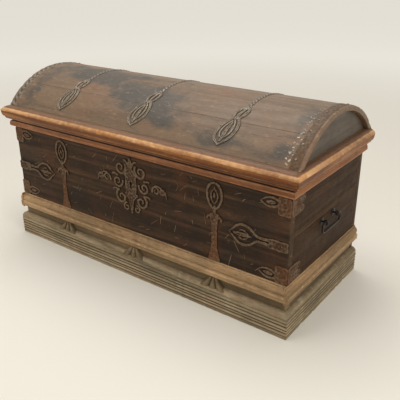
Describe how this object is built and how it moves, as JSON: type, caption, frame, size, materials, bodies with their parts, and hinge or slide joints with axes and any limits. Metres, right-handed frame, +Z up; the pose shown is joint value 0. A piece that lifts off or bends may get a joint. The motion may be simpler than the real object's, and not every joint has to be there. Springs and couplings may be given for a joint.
{
  "type": "dome-lid coffer",
  "caption": "Oak coffer with a coopered dome lid hinged at the back, moulded plinth and rims, wrought iron straps, drop handles and a sliding-bolt lock.",
  "frame": {"origin": "on the floor, in the middle of the outer box", "axes": "+X along the chest to the right of someone facing it, front faces -Y, +Z up"},
  "size_m": [1.404, 0.6025, 0.7298],
  "materials": {
    "carcass_oak": "dark waxed old oak, worn and scratched",
    "lid_oak": "grey-brown worn oak with a satin sheen",
    "moulding_oak": "polished warm brown oak",
    "plinth_oak": "pale dry weathered oak",
    "inner_oak": "raw sawn oak",
    "wrought_iron": "hammered wrought iron, dark grey with rust",
    "lock_iron": "filed iron, worn bright where it slides"
  },
  "bodies": {
    "carcass": {"front_board": "carcass_oak", "back_board": "carcass_oak", "end_board_left_lower": "carcass_oak", "end_board_left_upper": "carcass_oak", "end_board_right_lower": "carcass_oak", "end_board_right_upper": "carcass_oak", "bottom_board_1": "inner_oak", "bottom_board_2": "inner_oak", "bottom_board_3": "inner_oak", "plinth_front": "plinth_oak", "plinth_left": "plinth_oak", "plinth_right": "plinth_oak", "plinth_back": "plinth_oak", "plinth_cap_front": "plinth_oak", "plinth_cap_left": "plinth_oak", "plinth_cap_right": "plinth_oak", "rim_moulding_front": "moulding_oak", "rim_moulding_left": "moulding_oak", "rim_moulding_right": "moulding_oak", "plinth_fans": "plinth_oak", "hinge_leaf_left": "wrought_iron", "hinge_leaf_middle": "wrought_iron", "hinge_leaf_right": "wrought_iron", "hinge_pins": "wrought_iron", "front_strap_left": "wrought_iron", "front_strap_right": "wrought_iron", "corner_strap_left": "wrought_iron", "corner_strap_right": "wrought_iron", "corner_iron_upper_left": "wrought_iron", "corner_iron_upper_right": "wrought_iron", "corner_iron_lower_left": "wrought_iron", "corner_iron_lower_right": "wrought_iron", "escutcheon": "wrought_iron", "escutcheon_scrolls": "wrought_iron", "lock_plate": "lock_iron", "lock_guides": "lock_iron", "lock_cover": "lock_iron", "handle_eyes_left": "wrought_iron", "handle_eyes_right": "wrought_iron"},
    "lid": {"lid_stave_1": "lid_oak", "lid_stave_2": "lid_oak", "lid_stave_3": "lid_oak", "lid_stave_4": "lid_oak", "lid_stave_5": "lid_oak", "lid_rail_front": "lid_oak", "lid_rail_back": "lid_oak", "lid_end_left": "lid_oak", "lid_end_right": "lid_oak", "lid_moulding_front": "moulding_oak", "lid_moulding_left": "moulding_oak", "lid_moulding_right": "moulding_oak", "lid_strap_left": "wrought_iron", "lid_strap_middle": "wrought_iron", "lid_strap_right": "wrought_iron", "lid_band_left": "wrought_iron", "lid_band_right": "wrought_iron", "lid_staple": "lock_iron"},
    "lock_bolt": {"lock_bolt": "lock_iron"},
    "handle_left": {"handle_left": "wrought_iron"},
    "handle_right": {"handle_right": "wrought_iron"}
  },
  "joints": [
    {"name": "lid_hinge", "type": "hinge", "parent": "carcass", "child": "lid", "pos_m": [0, 0.29525, 0.53525], "axis": [-1, 0, 0], "range_deg": [0, 100]},
    {"name": "lock_bolt_slide", "type": "slide", "parent": "carcass", "child": "lock_bolt", "axis": [1, 0, 0], "range_m": [0, 0.018]},
    {"name": "handle_left_swing", "type": "hinge", "parent": "carcass", "child": "handle_left", "pos_m": [-0.6815, 0.01275, 0.338], "axis": [0, 1, 0], "range_deg": [-18, 150]},
    {"name": "handle_right_swing", "type": "hinge", "parent": "carcass", "child": "handle_right", "pos_m": [0.6815, 0.01275, 0.338], "axis": [0, -1, 0], "range_deg": [-18, 150]}
  ]
}
